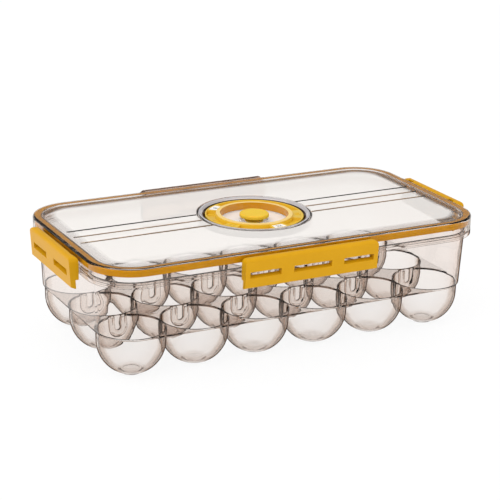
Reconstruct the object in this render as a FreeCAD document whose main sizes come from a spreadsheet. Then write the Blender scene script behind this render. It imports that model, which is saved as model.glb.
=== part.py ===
import FreeCAD, Part
import math
import os
import Sketcher

# Egg storage box: a clear tray with a grid of egg cups, a clear clip-on lid with a soft seal,
# four swinging clips, and a sunk date dial round a pull-up vent plug.
# Lengths are millimetres. +X runs along the box, +Y to its back, +Z up, and Z is 0 at the feet.
# In plan every wall and rim is a rectangle through the corner cups' centres, offset by a radius.

# Driving dimensions
SIZES = {
    # Egg cups
    "cup_radius": 24.4,
    "column_lap": 0.8,
    "row_gap": 0.5,
    "cup_wall": 1.2,
    "cup_flat_depth": 1.2,
    "cup_floor": 2.3,
    "cup_straight": 9.5,
    "cup_lean": 0.15,
    "cup_lip_round": 1.1,
    "foot_height": 0.6,
    "foot_radius": 7.4,
    "foot_width": 1.4,
    "web_width": 9.0,
    "web_depth": 13.8,
    "web_length": 6.0,
    "lip_half": 4.6,
    "lip_radius": 2.8,
    "lip_turn_drop": 8.9,
    # Tray wall and flange
    "deck_thickness": 1.5,
    "wall_ledge": 0.2,
    "wall_thickness": 1.2,
    "wall_height": 46.3,
    "wall_flare": 2.3,
    "wall_base_round": 1.1,
    "flange_drop": 4.0,
    "flange_height": 3.9,
    "flange_reach": 3.9,
    "flange_lip": 1.1,
    "flange_groove": 2.4,
    "tab_reach": 3.0,
    "tab_height": 1.4,
    "tab_drop": 2.2,
    "tab_end_gap": 1.5,
    # Lid
    "skirt_gap": 0.4,
    "skirt_wall": 1.1,
    "lid_roof": 1.2,
    "lid_edge_round": 1.9,
    "bead_width": 8.0,
    "panel_recess": 0.6,
    "panel_thickness": 1.9,
    "channel_wall": 1.2,
    "channel_gap": 1.1,
    "channel_drop": 1.2,
    "line_pitch": 13.3,
    "line_width": 2.4,
    "line_depth": 0.5,
    "line_end": 22.0,
    "line_start_gap": 0.5,
    # Seal
    "seal_height": 4.8,
    "seal_side_gap": 0.15,
    "seal_top_gap": 0.1,
    "seal_rim_gap": 0.2,
    "seal_edge_round": 0.7,
    # Clips and their hinges
    "hinge_drop": 4.5,
    "hinge_barrel": 3.5,
    "hinge_gap": 1.3,
    "pin_radius": 1.4,
    "pin_fit": 0.06,
    "pin_length": 4.5,
    "pin_end_gap": 0.4,
    "lug_width": 5.0,
    "lug_shoulder": 0.2,
    "lug_gap": 0.4,
    "lug_under_gap": 0.8,
    "lug_shelf": 1.5,
    "lug_drop": 4.8,
    "clip_height": 23.1,
    "clip_plate": 3.8,
    "clip_slope": 1.3,
    "clip_edge_round": 2.4,
    "clip_cheek_width": 3.0,
    "clip_cheek_height": 13.0,
    "clip_rib_width": 4.0,
    "clip_top_round": 4.2,
    "clip_foot_round": 1.2,
    "clip_foot_bevel": 1.8,
    "slot_rise": 1.5,
    "slot_height": 3.2,
    "slot_ramp": 1.4,
    "long_clip": 105.0,
    "long_clip_middle_slot": 30.0,
    "long_clip_slot_space": 10.0,
    "long_clip_slot_end": 3.5,
    "long_clip_lug_inset": 4.0,
    "short_clip": 76.0,
    "short_clip_slot_space": 14.0,
    "short_clip_slot_end": 6.0,
    "short_clip_lug_inset": 10.0,
    # Date dial in its well
    "well_wall": 1.5,
    "well_depth": 5.6,
    "well_floor": 1.5,
    "bezel_fit": 0.1,
    "bezel_width": 3.0,
    "bezel_rim": 1.4,
    "bezel_lip": 1.5,
    "dial_radius": 36.3,
    "dial_gap": 0.5,
    "dial_float": 0.1,
    "dial_width": 11.1,
    "dial_rim": 3.0,
    "dial_rim_drop": 0.1,
    "dial_face_drop": 1.3,
    "dial_pocket_floor": 1.9,
    "dial_pocket_edge": 1.0,
    "dial_flange": 1.2,
    "dial_flange_height": 1.0,
    "dial_flange_gap": 0.3,
    "ring_thickness": 0.6,
    "ring_inset": 0.4,
    # Vent plug
    "knob_radius": 10.9,
    "knob_thickness": 2.6,
    "knob_round": 1.2,
    "stem_radius": 3.85,
    "stem_gap": 0.3,
    "seat_radius": 6.8,
    "seat_thickness": 1.2,
    "seat_gap": 0.1,
    "bulb_radius": 5.4,
    "bulb_length": 3.0,
    "vent_travel": 3.0,
    "vent_stop_gap": 0.4,
    "boss_radius": 11.2,
    "boss_width": 1.2,
    "boss_height": 1.2,
}

# Cups along the box and across it
COLUMNS = 6
ROWS = 3

# Raised blocks of the dial lie between these pockets, and two windows pass right through.
DIAL_POCKETS = ((141.0, 203.0), (222.0, 265.0), (288.0, 321.0), (353.0, 115.0))
DIAL_WINDOWS = ((268.0, 285.0), (118.0, 137.0))

# The wall's rounded foot is drawn in straight steps at these angles, in degrees.
BASE_ROUND_STEPS = (0.0, 30.0, 60.0, 90.0)

document = FreeCAD.newDocument("EggBox")
sheet = document.addObject("Spreadsheet::Sheet", "Sizes")
for row, (name, number) in enumerate(SIZES.items(), start=1):
    sheet.set("A%d" % row, name)
    sheet.set("B%d" % row, str(number))
    sheet.setAlias("B%d" % row, name)
document.recompute()


class Dim:
    """A length with its present value and the sheet formula that gives it."""

    def __init__(self, formula, value):
        self.formula = formula
        self.value = value

    def __add__(self, other):
        other = as_dim(other)
        return Dim("(%s + %s)" % (self.formula, other.formula), self.value + other.value)

    def __sub__(self, other):
        other = as_dim(other)
        return Dim("(%s - %s)" % (self.formula, other.formula), self.value - other.value)

    def __mul__(self, other):
        other = as_dim(other)
        return Dim("(%s * %s)" % (self.formula, other.formula), self.value * other.value)

    def __truediv__(self, other):
        other = as_dim(other)
        return Dim("(%s / %s)" % (self.formula, other.formula), self.value / other.value)

    def __neg__(self):
        return as_dim(0) - self

    def root(self):
        return Dim("sqrt(%s)" % self.formula, math.sqrt(self.value))


def as_dim(number):
    """Return a plain number as a Dim, and a Dim as it is."""
    return number if isinstance(number, Dim) else Dim(repr(float(number)), float(number))


def size(name):
    """Return the named driving dimension."""
    return Dim("Sizes." + name, float(SIZES[name]))


# Heights worked out from the feet up
column_pitch = size("cup_radius") * 2 - size("column_lap")
row_pitch = size("cup_radius") * 2 + size("row_gap")
core_x = column_pitch * (COLUMNS - 1) / 2
core_y = row_pitch * (ROWS - 1) / 2
cup_bottom = size("foot_height")
cup_centre = cup_bottom + size("cup_radius") - size("cup_flat_depth")
deck_top = cup_centre + size("cup_straight")
deck_bottom = deck_top - size("deck_thickness")
rim_top = deck_top + size("wall_height")
flange_top = rim_top - size("flange_drop")
flange_bottom = flange_top - size("flange_height")
skirt_bottom = flange_top + size("skirt_gap")
seal_bottom = rim_top + size("seal_rim_gap")
seal_top = seal_bottom + size("seal_height")
channel_roof = seal_top + size("seal_top_gap")
lid_top = channel_roof + size("lid_roof")
panel_top = lid_top - size("panel_recess")
panel_bottom = panel_top - size("panel_thickness")
channel_bottom = rim_top - size("channel_drop")
well_top = panel_top - size("well_depth")
well_bottom = well_top - size("well_floor")
dial_low = well_top + size("ring_thickness") + size("dial_float")
tab_top = flange_top - size("tab_drop")
tab_bottom = tab_top - size("tab_height")

# Offsets out from the corner cups' centres
cup_hollow = size("cup_radius") - size("cup_wall")
cup_lip = cup_hollow + size("cup_lean") + size("cup_lip_round")
wall_low = cup_lip + size("wall_ledge") + size("wall_thickness")
wall_high = wall_low + size("wall_flare")
flange_out = wall_high + size("flange_reach")
skirt_in = flange_out - size("skirt_wall")
channel_out = wall_high - size("wall_thickness") - size("channel_gap")
channel_in = channel_out - size("channel_wall")
hinge_out = flange_out + size("hinge_gap") + size("hinge_barrel")
hinge_height = lid_top - size("hinge_drop")

# Radii of the dial and its well
dial_hole = size("dial_radius") - size("dial_width")
bezel_shoulder = size("dial_radius") + size("dial_flange") + size("dial_gap")
bezel_outer = bezel_shoulder + size("bezel_width")
well_radius = bezel_outer + size("bezel_fit")


def origin_feature(body, role):
    """Return one of a body's own origin planes or axes."""
    return next(item for item in body.Origin.OriginFeatures if item.Role == role)


def new_body(label):
    """Start a sub-part whose label names its file."""
    body = document.addObject("PartDesign::Body", label)
    body.Label = label
    return body


def new_sketch(body, name, role, shift=None, level=None):
    """Start a sketch on an origin plane, moved sideways and along the plane's normal."""
    sketch = body.newObject("Sketcher::SketchObject", name)
    sketch.AttachmentSupport = [(origin_feature(body, role), "")]
    sketch.MapMode = "FlatFace"
    if shift is not None:
        sketch.setExpression("AttachmentOffset.Base.x", shift.formula)
    if level is not None:
        sketch.setExpression("AttachmentOffset.Base.z", level.formula)
    return sketch


def fix(sketch, kind, where, length):
    """Add one sized constraint and bind it to the sheet."""
    index = sketch.addConstraint(Sketcher.Constraint(kind, *where, abs(length.value)))
    formula = length.formula if length.value > 0 else (-length).formula
    sketch.setExpression("Constraints[%d]" % index, formula)


def pin_point(sketch, edge, end, x, y):
    """Fix a point of the sketch at x, y from the sketch's origin."""
    for kind, axis, length in (("DistanceX", -2, x), ("DistanceY", -1, y)):
        if abs(length.value) < 1e-9:
            sketch.addConstraint(Sketcher.Constraint("PointOnObject", edge, end, axis))
        elif length.value > 0:
            fix(sketch, kind, (-1, 1, edge, end), length)
        else:
            fix(sketch, kind, (edge, end, -1, 1), length)


def outline(sketch, corners):
    """Draw a closed outline of straight and round stretches.

    Each corner is x, y and either nothing, for a straight run to the next corner, or a tuple of
    the round run's radius, its centre's x and y, and +1 to turn left or -1 to turn right.
    """
    points = [(as_dim(corner[0]), as_dim(corner[1])) for corner in corners]
    edges = []
    for index, corner in enumerate(corners):
        start = FreeCAD.Vector(points[index][0].value, points[index][1].value, 0)
        after = (index + 1) % len(points)
        stop = FreeCAD.Vector(points[after][0].value, points[after][1].value, 0)
        if len(corner) == 2:
            edges.append((sketch.addGeometry(Part.LineSegment(start, stop), False), 1, 2))
            continue
        radius, centre_x, centre_y, turn = corner[2]
        centre = FreeCAD.Vector(as_dim(centre_x).value, as_dim(centre_y).value, 0)
        circle = Part.Circle(centre, FreeCAD.Vector(0, 0, 1), radius.value)
        angles = [math.atan2(point.y - centre.y, point.x - centre.x) for point in (start, stop)]
        if turn < 0:
            angles.reverse()
        edge = sketch.addGeometry(Part.ArcOfCircle(circle, angles[0], angles[1]), False)
        edges.append((edge, 1, 2) if turn > 0 else (edge, 2, 1))
        fix(sketch, "Radius", (edge,), radius)
    for index, (edge, first, last) in enumerate(edges):
        following, following_first, _ = edges[(index + 1) % len(edges)]
        sketch.addConstraint(Sketcher.Constraint("Coincident", edge, last, following, following_first))
        pin_point(sketch, edge, first, *points[index])


def plan(sketch, offset):
    """Draw the box's plan outline at an offset from the corner cups' centres."""
    long_side = core_x + offset
    short_side = core_y + offset
    outline(sketch, [
        (-core_x, -short_side),
        (core_x, -short_side, (offset, core_x, -core_y, 1)),
        (long_side, -core_y),
        (long_side, core_y, (offset, core_x, core_y, 1)),
        (core_x, short_side),
        (-core_x, short_side, (offset, -core_x, core_y, 1)),
        (-long_side, core_y),
        (-long_side, -core_y, (offset, -core_x, -core_y, 1)),
    ])


def round_hole(sketch, x, y, radius):
    """Draw a full circle."""
    x = as_dim(x)
    y = as_dim(y)
    centre = FreeCAD.Vector(x.value, y.value, 0)
    edge = sketch.addGeometry(Part.Circle(centre, FreeCAD.Vector(0, 0, 1), radius.value), False)
    fix(sketch, "Radius", (edge,), radius)
    pin_point(sketch, edge, 3, x, y)


def grow(body, kind, name, sketch, length, symmetric=False, backwards=False):
    """Pad or pocket a sketch by a length."""
    feature = body.newObject("PartDesign::" + kind, name)
    feature.Profile = sketch
    feature.setExpression("Length", length.formula)
    feature.Reversed = backwards
    if symmetric:
        feature.SideType = "Symmetric"
    return feature


def turn(body, kind, name, sketch, degrees=360.0):
    """Turn a sketch's profile about the sketch's own upright axis."""
    feature = body.newObject("PartDesign::" + kind, name)
    feature.Profile = sketch
    feature.ReferenceAxis = (sketch, ["V_Axis"])
    feature.Angle = degrees
    return feature


def loft(body, kind, name, lowest, others):
    """Join outlines, from the lowest up, by straight walls."""
    feature = body.newObject("PartDesign::" + kind, name)
    feature.Profile = lowest
    feature.Sections = others
    feature.Ruled = True
    return feature


def grid(body, name, original, columns, rows):
    """Repeat a feature over the cups' columns and rows."""
    pattern = body.newObject("PartDesign::LinearPattern", name)
    pattern.Originals = [original]
    pattern.Direction = (origin_feature(body, "X_Axis"), [""])
    pattern.setExpression("Length", (column_pitch * (columns - 1)).formula)
    pattern.Occurrences = columns
    pattern.Direction2 = (origin_feature(body, "Y_Axis"), [""])
    pattern.setExpression("Length2", (row_pitch * (rows - 1)).formula)
    pattern.Occurrences2 = rows
    body.Tip = pattern
    return pattern


def round_level(body, name, level, radius):
    """Round every edge of the body's present solid that lies at one height."""
    document.recompute()
    base = body.Tip
    edges = []
    for index, edge in enumerate(base.Shape.Edges, start=1):
        box = edge.BoundBox
        if abs(box.ZMin - level.value) < 1e-4 and abs(box.ZMax - level.value) < 1e-4:
            edges.append("Edge%d" % index)
    feature = body.newObject("PartDesign::Fillet", name)
    feature.Base = (base, edges)
    feature.setExpression("Radius", radius.formula)
    return feature


# Sides of the box: the plane that a section across the side lies in, the plane that faces it,
# the outward direction's sign in both, and the core half-size that the side stands off from
SIDES = {
    "front": ("YZ_Plane", "XZ_Plane", -1, core_y),
    "back": ("YZ_Plane", "XZ_Plane", 1, core_y),
    "left": ("XZ_Plane", "YZ_Plane", -1, core_x),
    "right": ("XZ_Plane", "YZ_Plane", 1, core_x),
}


def section(body, name, side, along, corners):
    """Draw an outline of offset and height in the plane across one side, at a place along it."""
    across, _, sign, core = SIDES[side]
    sketch = new_sketch(body, name, across, level=along)
    turned = []
    for corner in corners:
        x = (core + corner[0]) * sign
        if len(corner) == 2:
            turned.append((x, corner[1]))
            continue
        radius, centre_x, centre_y, direction = corner[2]
        turned.append((x, corner[1], (radius, (core + centre_x) * sign, centre_y, direction * sign)))
    outline(sketch, turned)
    return sketch


def pin_section(body, name, side, along, radius):
    """Draw the hinge pin's circle in the plane across one side."""
    across, _, sign, core = SIDES[side]
    sketch = new_sketch(body, name, across, level=along)
    round_hole(sketch, (core + hinge_out) * sign, hinge_height, radius)
    return sketch


def slot_pair(start, stop):
    """Return the places and lengths of two slots that run out from the middle, one to each side."""
    centre = (start + stop) / 2
    return [(-centre, stop - start), (centre, stop - start)]


# Slots of each kind of clip as place along the side and length, and places of the hinge lugs
middle_half = size("long_clip_middle_slot") / 2
LONG_SPAN = (middle_half + size("long_clip_slot_space"), size("long_clip") / 2 - size("long_clip_slot_end"))
SHORT_SPAN = (size("short_clip_slot_space") / 2, size("short_clip") / 2 - size("short_clip_slot_end"))
LONG_SLOTS = slot_pair(*LONG_SPAN)
LONG_SLOTS.insert(1, (as_dim(0), size("long_clip_middle_slot")))
SHORT_SLOTS = slot_pair(*SHORT_SPAN)
LONG_LUG = middle_half + size("long_clip_lug_inset")
SHORT_LUG = size("short_clip") / 2 - size("short_clip_lug_inset")
CLIPS = {
    "front": (size("long_clip"), LONG_SLOTS, LONG_LUG),
    "back": (size("long_clip"), LONG_SLOTS, LONG_LUG),
    "left": (size("short_clip"), SHORT_SLOTS, SHORT_LUG),
    "right": (size("short_clip"), SHORT_SLOTS, SHORT_LUG),
}


def make_tray():
    """Mould the tray: cups joined by lipped webs, deck, flared wall, flange with catch tabs, and feet."""
    body = new_body("tray_body")
    base_round = size("wall_base_round")
    levels = []
    for degrees in BASE_ROUND_STEPS:
        rise = base_round * (1 - math.cos(math.radians(degrees)))
        reach = base_round * (1 - math.sin(math.radians(degrees)))
        levels.append((deck_bottom + rise, wall_low - reach))
    levels.append((rim_top, wall_high))
    walls = []
    for number, (level, offset) in enumerate(levels, start=1):
        walls.append(new_sketch(body, "wall_plan_%d" % number, "XY_Plane", level=level))
        plan(walls[-1], offset)
    loft(body, "AdditiveLoft", "wall_block", walls[0], walls[1:])

    flange = new_sketch(body, "flange_plan", "XY_Plane", level=flange_bottom)
    plan(flange, flange_out)
    grow(body, "Pad", "flange", flange, size("flange_height"))

    flat_radius = (size("cup_flat_depth") * (size("cup_radius") * 2 - size("cup_flat_depth"))).root()
    cup_top = deck_bottom + size("deck_thickness") / 2
    cup = new_sketch(body, "cup_profile", "XZ_Plane", shift=-core_x, level=core_y)
    outline(cup, [
        (0, cup_bottom),
        (flat_radius, cup_bottom, (size("cup_radius"), 0, cup_centre, 1)),
        (size("cup_radius"), cup_centre),
        (size("cup_radius") + size("cup_lean"), cup_top),
        (0, cup_top),
    ])
    first_cup = turn(body, "Revolution", "cup", cup)
    grid(body, "cups", first_cup, COLUMNS, ROWS)

    half_web = size("web_width") / 2
    web_turn = deck_top - size("web_depth") + half_web
    web = new_sketch(body, "row_web_profile", "XZ_Plane", shift=-core_x, level=core_y - row_pitch / 2)
    outline(web, [
        (half_web, web_turn),
        (half_web, deck_top),
        (-half_web, deck_top),
        (-half_web, web_turn, (half_web, 0, web_turn, 1)),
        (0, web_turn - half_web, (half_web, 0, web_turn, 1)),
    ])
    first_web = grow(body, "Pad", "row_web", web, size("web_length"), symmetric=True)
    grid(body, "row_webs", first_web, COLUMNS, ROWS - 1)

    climb = size("deck_thickness") / (size("wall_height") + size("deck_thickness"))
    inside_low = wall_low + size("wall_flare") * climb - size("wall_thickness")
    low = new_sketch(body, "inside_foot", "XY_Plane", level=deck_top)
    plan(low, inside_low)
    high = new_sketch(body, "inside_head", "XY_Plane", level=rim_top)
    plan(high, wall_high - size("wall_thickness"))
    loft(body, "SubtractiveLoft", "inside", low, [high])

    floor_height = cup_bottom + size("cup_floor")
    floor_drop = cup_centre - floor_height
    floor_radius = (cup_hollow * cup_hollow - floor_drop * floor_drop).root()
    lip_inner = cup_hollow + size("cup_lean")
    lip_low = deck_top - size("cup_lip_round")
    hollow = new_sketch(body, "hollow_profile", "XZ_Plane", shift=-core_x, level=core_y)
    outline(hollow, [
        (0, floor_height),
        (floor_radius, floor_height, (cup_hollow, 0, cup_centre, 1)),
        (cup_hollow, cup_centre),
        (lip_inner, lip_low, (size("cup_lip_round"), cup_lip, lip_low, -1)),
        (cup_lip, deck_top),
        (0, deck_top),
    ])
    first_hollow = turn(body, "Groove", "hollow", hollow)
    grid(body, "hollows", first_hollow, COLUMNS, ROWS)

    lip_level = deck_top - size("lip_turn_drop")
    lip_place = row_pitch / 2 - core_y
    bend = new_sketch(body, "lip_bend_profile", "XY_Plane", shift=-core_x, level=lip_level)
    round_hole(bend, size("lip_half"), lip_place, size("lip_radius"))
    first_bend = turn(body, "Revolution", "lip_bend", bend, degrees=180.0)
    grid(body, "lip_bends", first_bend, COLUMNS, ROWS - 1)
    legs = new_sketch(body, "lip_leg_plan", "XY_Plane", shift=-core_x, level=lip_level)
    round_hole(legs, size("lip_half"), lip_place, size("lip_radius"))
    round_hole(legs, -size("lip_half"), lip_place, size("lip_radius"))
    first_legs = grow(body, "Pad", "lip_legs", legs, lip_low - lip_level)
    grid(body, "lip_leg_pairs", first_legs, COLUMNS, ROWS - 1)

    groove = new_sketch(body, "flange_groove_plan", "XY_Plane", level=flange_bottom)
    plan(groove, flange_out - size("flange_lip"))
    plan(groove, wall_high + size("flange_lip") / 2)
    grow(body, "Pocket", "flange_groove", groove, size("flange_groove"), backwards=True)

    for side, (_, slots, _) in CLIPS.items():
        for number, (along, length) in enumerate(slots, start=1):
            name = "%s_tab_%d" % (side, number)
            tab = section(body, name + "_profile", side, along, [
                (flange_out - size("flange_lip") / 2, tab_bottom),
                (flange_out + size("tab_reach"), tab_bottom + size("tab_height") / 2),
                (flange_out + size("tab_reach"), tab_top),
                (flange_out - size("flange_lip") / 2, tab_top),
            ])
            grow(body, "Pad", name, tab, length - size("tab_end_gap"), symmetric=True)

    feet = new_sketch(body, "foot_plan", "XY_Plane")
    for x in (-core_x, core_x):
        for y in (-core_y, core_y):
            round_hole(feet, x, y, size("foot_radius"))
            round_hole(feet, x, y, size("foot_radius") - size("foot_width"))
    grow(body, "Pad", "feet", feet, size("foot_height") + size("cup_floor") / 2)
    return body


def make_lid():
    """Mould the lid: panel, bead, seal channel, skirt, dial well and the clips' hinge lugs."""
    body = new_body("lid_shell")
    block = new_sketch(body, "lid_plan", "XY_Plane", level=skirt_bottom)
    plan(block, flange_out)
    grow(body, "Pad", "lid_block", block, lid_top - skirt_bottom)
    round_level(body, "lid_edge", lid_top, size("lid_edge_round"))

    recess = new_sketch(body, "recess_plan", "XY_Plane", level=lid_top)
    plan(recess, flange_out - size("bead_width"))
    grow(body, "Pocket", "panel_recess", recess, size("panel_recess"))

    hollow = new_sketch(body, "lid_hollow_plan", "XY_Plane", level=skirt_bottom)
    plan(hollow, channel_in)
    grow(body, "Pocket", "lid_hollow", hollow, panel_bottom - skirt_bottom, backwards=True)

    channel = new_sketch(body, "channel_plan", "XY_Plane", level=skirt_bottom)
    plan(channel, skirt_in)
    plan(channel, channel_out)
    grow(body, "Pocket", "seal_channel", channel, channel_roof - skirt_bottom, backwards=True)

    trim = new_sketch(body, "channel_trim_plan", "XY_Plane", level=skirt_bottom)
    plan(trim, channel_out + size("channel_gap") / 2)
    grow(body, "Pocket", "channel_trim", trim, channel_bottom - skirt_bottom, backwards=True)

    well_outer = well_radius + size("well_wall")
    well_turn = well_bottom + size("well_wall")
    cup = new_sketch(body, "well_profile", "XZ_Plane")
    outline(cup, [
        (0, well_bottom),
        (well_radius, well_bottom, (size("well_wall"), well_radius, well_turn, 1)),
        (well_outer, well_turn),
        (well_outer, lid_top),
        (0, lid_top),
    ])
    turn(body, "Revolution", "well", cup)
    boss_inner = size("boss_radius") - size("boss_width")
    boss_top = well_top + size("boss_height")
    hollow = new_sketch(body, "well_hollow_profile", "XZ_Plane")
    hole_radius = size("stem_radius") + size("stem_gap")
    hole_low = well_bottom - size("well_floor")
    outline(hollow, [
        (0, hole_low),
        (hole_radius, hole_low),
        (hole_radius, well_top),
        (boss_inner, well_top),
        (boss_inner, boss_top),
        (size("boss_radius"), boss_top),
        (size("boss_radius"), well_top),
        (well_radius, well_top),
        (well_radius, lid_top + size("well_wall")),
        (0, lid_top + size("well_wall")),
    ])
    turn(body, "Groove", "well_hollow", hollow)

    line_outer = core_x + size("line_end")
    half_line = size("line_width") / 2
    beside_well = (well_outer * well_outer - size("line_pitch") * size("line_pitch")).root()
    rows = (
        ("middle", well_outer, (as_dim(0),)),
        ("outer", beside_well, (-size("line_pitch"), size("line_pitch"))),
    )
    for row_name, well_edge, places in rows:
        line_inner = well_edge + size("line_start_gap")
        line_middle = (line_inner + line_outer) / 2
        for end_name, along in (("left", -line_middle), ("right", line_middle)):
            name = "%s_%s_lines" % (end_name, row_name)
            lines = new_sketch(body, name + "_profile", "YZ_Plane", level=along)
            for place in places:
                outline(lines, [
                    (place - half_line, panel_top + size("line_depth")),
                    (place - half_line, panel_top),
                    (place, panel_top - size("line_depth")),
                    (place + half_line, panel_top),
                    (place + half_line, panel_top + size("line_depth")),
                ])
            grow(body, "Pocket", name, lines, line_outer - line_inner, symmetric=True)

    shelf_bottom = hinge_height - size("lug_drop")
    shelf_top = shelf_bottom + size("lug_shelf")
    post_half = size("pin_radius") - size("lug_shoulder")
    for side, (_, _, lug) in CLIPS.items():
        for label, along in (("lug_a", -lug), ("lug_b", lug)):
            name = "%s_%s" % (side, label)
            post = section(body, name + "_profile", side, along, [
                (flange_out - size("skirt_wall") / 2, shelf_bottom),
                (hinge_out + post_half, shelf_bottom),
                (hinge_out + post_half, hinge_height),
                (hinge_out - post_half, hinge_height),
                (hinge_out - post_half, shelf_top),
                (flange_out - size("skirt_wall") / 2, shelf_top),
            ])
            grow(body, "Pad", name, post, size("lug_width"), symmetric=True)
            pin = pin_section(body, name + "_pin_profile", side, along, size("pin_radius"))
            pin_span = size("lug_width") + size("pin_length") * 2
            grow(body, "Pad", name + "_pin", pin, pin_span, symmetric=True)
    return body


def make_seal():
    """Mould the soft seal that fills the lid's channel."""
    body = new_body("lid_gasket")
    ring = new_sketch(body, "seal_plan", "XY_Plane", level=seal_bottom)
    plan(ring, skirt_in - size("seal_side_gap"))
    plan(ring, channel_out + size("seal_side_gap"))
    grow(body, "Pad", "seal", ring, size("seal_height"))
    round_level(body, "seal_low_edges", seal_bottom, size("seal_edge_round"))
    round_level(body, "seal_high_edges", seal_top, size("seal_edge_round"))
    return body


def make_clip(side):
    """Mould one clip: hinge barrel, sloping plate with catch slots, cheeks and ribs."""
    length, slots, lug = CLIPS[side]
    body = new_body(side + "_clip")
    barrel = size("hinge_barrel")
    clip_top = hinge_height + barrel
    clip_bottom = clip_top - size("clip_height")
    plate_out = hinge_out + barrel
    plate_in = plate_out - size("clip_plate")
    slope = size("clip_slope") / (hinge_height - clip_bottom)
    edge_round = size("clip_edge_round")

    shell = section(body, "shell_profile", side, as_dim(0), [
        (plate_out - size("clip_slope"), clip_bottom + size("clip_foot_bevel")),
        (plate_out, hinge_height),
        (plate_out, clip_top - edge_round, (edge_round, plate_out - edge_round, clip_top - edge_round, 1)),
        (plate_out - edge_round, clip_top),
        (hinge_out, clip_top, (barrel, hinge_out, hinge_height, 1)),
        (hinge_out - barrel, hinge_height),
        (plate_in - slope * barrel, hinge_height - barrel),
        (plate_in - size("clip_slope"), clip_bottom),
    ])
    grow(body, "Pad", "shell", shell, length, symmetric=True)

    cheek_low = hinge_height - size("clip_cheek_height")
    sink = size("clip_plate") / 2
    cheek = [
        (hinge_out - barrel, hinge_height),
        (hinge_out - barrel, cheek_low),
        (plate_in - slope * size("clip_cheek_height") + sink, cheek_low),
        (plate_in + sink, hinge_height),
    ]
    cheek_place = (length - size("clip_cheek_width")) / 2
    ribs = [(-cheek_place, size("clip_cheek_width")), (cheek_place, size("clip_cheek_width"))]
    for (low_place, low_length), (high_place, high_length) in zip(slots, slots[1:]):
        between = (low_place + low_length / 2 + high_place - high_length / 2) / 2
        ribs.append((between, size("clip_rib_width")))
    for number, (along, width) in enumerate(ribs, start=1):
        profile = section(body, "rib_%d_profile" % number, side, along, cheek)
        grow(body, "Pad", "rib_%d" % number, profile, width, symmetric=True)

    slot_top = tab_top + size("slot_rise")
    slot_low = slot_top - size("slot_height")
    ramp_low = slot_low - size("slot_ramp")
    face = plate_out - slope * (hinge_height - ramp_low)
    back = plate_in - slope * (hinge_height - slot_low)
    for number, (along, width) in enumerate(slots, start=1):
        profile = section(body, "slot_%d_profile" % number, side, along, [
            (back - sink, slot_low),
            (back, slot_low),
            (face, ramp_low),
            (plate_out + sink, ramp_low),
            (plate_out + sink, slot_top),
            (back - sink, slot_top),
        ])
        grow(body, "Pocket", "slot_%d" % number, profile, width, symmetric=True)

    room = size("lug_gap")
    reach = size("pin_radius") + room
    mouth = size("pin_radius") - room
    pocket_low = hinge_height - size("lug_drop") - size("lug_under_gap")
    pocket = [
        (hinge_out - barrel - room, pocket_low),
        (hinge_out + reach, pocket_low),
        (hinge_out + reach, hinge_height + reach),
        (hinge_out - mouth, hinge_height + reach),
        (hinge_out - mouth, clip_top + room),
        (hinge_out - barrel - room, clip_top + room),
    ]
    bore_radius = size("pin_radius") + size("pin_fit")
    bore_span = size("lug_width") + (size("pin_length") + size("pin_end_gap")) * 2
    for name, along in (("lug_a", -lug), ("lug_b", lug)):
        profile = section(body, name + "_pocket_profile", side, along, pocket)
        grow(body, "Pocket", name + "_pocket", profile, size("lug_width") + room * 2, symmetric=True)
        bore = pin_section(body, name + "_bore_profile", side, along, bore_radius)
        grow(body, "Pocket", name + "_bore", bore, bore_span, symmetric=True)

    _, facing, _, core = SIDES[side]
    frame = new_sketch(body, "corner_profile", facing)
    half = length / 2
    top_round = size("clip_top_round")
    foot_round = size("clip_foot_round")
    top_turn = clip_top - top_round
    foot_turn = clip_bottom + foot_round
    margin = top_round
    outline(frame, [
        (-half - margin, clip_bottom - margin),
        (half + margin, clip_bottom - margin),
        (half + margin, clip_top + margin),
        (-half - margin, clip_top + margin),
    ])
    outline(frame, [
        (foot_round - half, clip_bottom),
        (half - foot_round, clip_bottom, (foot_round, half - foot_round, foot_turn, 1)),
        (half, foot_turn),
        (half, top_turn, (top_round, half - top_round, top_turn, 1)),
        (half - top_round, clip_top),
        (top_round - half, clip_top, (top_round, top_round - half, top_turn, 1)),
        (-half, top_turn),
        (-half, foot_turn, (foot_round, foot_round - half, foot_turn, 1)),
    ])
    grow(body, "Pocket", "corners", frame, (core + plate_out + margin) * 2, symmetric=True)
    return body


def make_bezel():
    """Mould the clear bezel that snaps into the well and holds the dial down."""
    body = new_body("dial_bezel")
    inner = size("dial_radius") + size("dial_gap")
    lip_low = dial_low + size("dial_flange_height") + size("dial_flange_gap")
    ring = new_sketch(body, "bezel_profile", "XZ_Plane")
    outline(ring, [
        (bezel_shoulder, well_top),
        (bezel_outer, well_top),
        (bezel_outer, lid_top),
        (bezel_outer - size("bezel_rim"), lid_top),
        (inner, lip_low + size("bezel_lip")),
        (inner, lip_low),
        (bezel_shoulder, lip_low),
    ])
    turn(body, "Revolution", "bezel", ring)
    return body


def make_number_ring():
    """Punch the flat ring of day numbers that lies under the dial."""
    body = new_body("number_ring")
    ring = new_sketch(body, "number_ring_plan", "XY_Plane", level=well_top)
    round_hole(ring, 0, 0, size("dial_radius") - size("ring_inset"))
    round_hole(ring, 0, 0, dial_hole + size("ring_inset"))
    grow(body, "Pad", "number_ring_plate", ring, size("ring_thickness"))
    return body


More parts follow.
